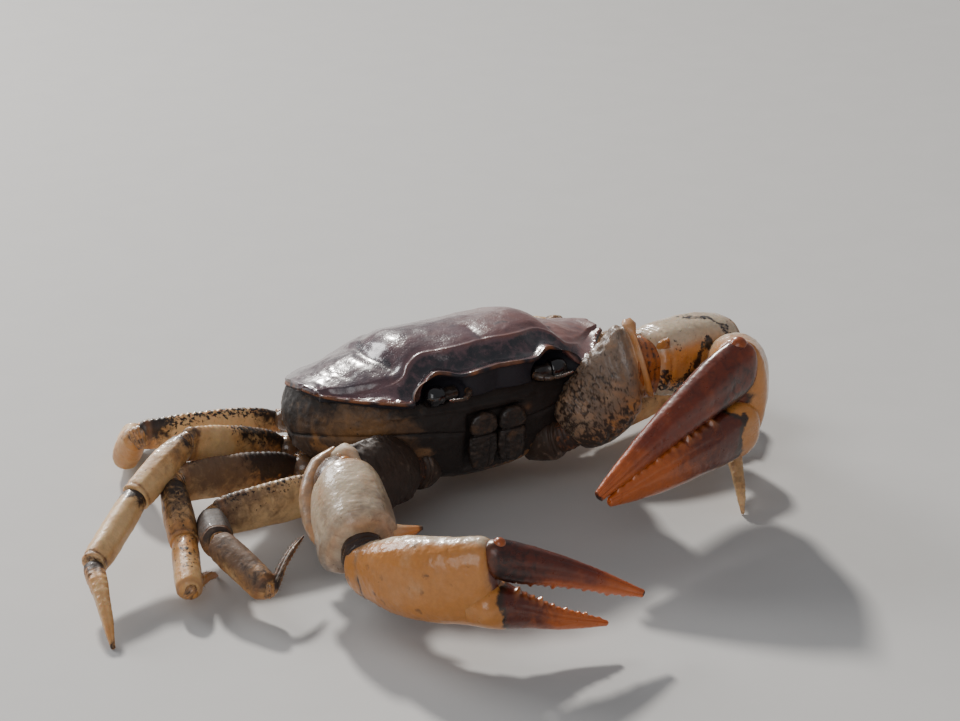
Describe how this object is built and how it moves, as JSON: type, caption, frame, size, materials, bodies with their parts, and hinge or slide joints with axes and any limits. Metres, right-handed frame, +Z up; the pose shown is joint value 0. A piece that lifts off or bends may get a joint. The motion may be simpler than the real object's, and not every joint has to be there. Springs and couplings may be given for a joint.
{
  "type": "land crab",
  "caption": "Life-size semi-terrestrial crab in a walking stance, claws held in front, with shield, eyes, mouthparts, folded tail, claws and walking legs.",
  "frame": {"origin": "centre of the bounding box in plan, on the floor under the feet", "axes": "+Z up, the crab faces -Y, its left side is towards +X"},
  "size_m": [0.1226, 0.114, 0.0281],
  "materials": {
    "shield": "wet, glossy purple-brown shell",
    "trunk": "damp dark brown shell with ochre mottling",
    "leg": "satin cream-orange shell with dark speckles",
    "toe": "satin horn, orange-brown",
    "claw": "glossy cream and orange-tan shell",
    "finger": "polished dark red-brown to orange-red",
    "eye": "polished black"
  },
  "bodies": {
    "root": {"carapace": "shield", "thorax": "trunk", "abdomen": "trunk", "maxilliped_right": "trunk", "eye_right": "eye", "antenna_right": "toe", "claw_right_ischium": "claw", "claw_right_merus": "claw", "claw_right_carpus": "claw", "claw_right_palm": "claw", "claw_right_dactyl": "finger", "leg1_right_coxa": "leg", "leg1_right_merus": "leg", "leg1_right_carpus": "leg", "leg1_right_propodus": "leg", "leg1_right_dactyl": "toe", "leg2_right_coxa": "leg", "leg2_right_merus": "leg", "leg2_right_carpus": "leg", "leg2_right_propodus": "leg", "leg2_right_dactyl": "toe", "leg3_right_coxa": "leg", "leg3_right_merus": "leg", "leg3_right_carpus": "leg", "leg3_right_propodus": "leg", "leg3_right_dactyl": "toe", "leg4_right_coxa": "leg", "leg4_right_merus": "leg", "leg4_right_carpus": "leg", "leg4_right_propodus": "leg", "leg4_right_dactyl": "toe", "maxilliped_left": "trunk", "eye_left": "eye", "antenna_left": "toe", "claw_left_ischium": "claw", "claw_left_merus": "claw", "claw_left_carpus": "claw", "claw_left_palm": "claw", "claw_left_dactyl": "finger", "leg1_left_coxa": "leg", "leg1_left_merus": "leg", "leg1_left_carpus": "leg", "leg1_left_propodus": "leg", "leg1_left_dactyl": "toe", "leg2_left_coxa": "leg", "leg2_left_merus": "leg", "leg2_left_carpus": "leg", "leg2_left_propodus": "leg", "leg2_left_dactyl": "toe", "leg3_left_coxa": "leg", "leg3_left_merus": "leg", "leg3_left_carpus": "leg", "leg3_left_propodus": "leg", "leg3_left_dactyl": "toe", "leg4_left_coxa": "leg", "leg4_left_merus": "leg", "leg4_left_carpus": "leg", "leg4_left_propodus": "leg", "leg4_left_dactyl": "toe"}
  },
  "joints": []
}
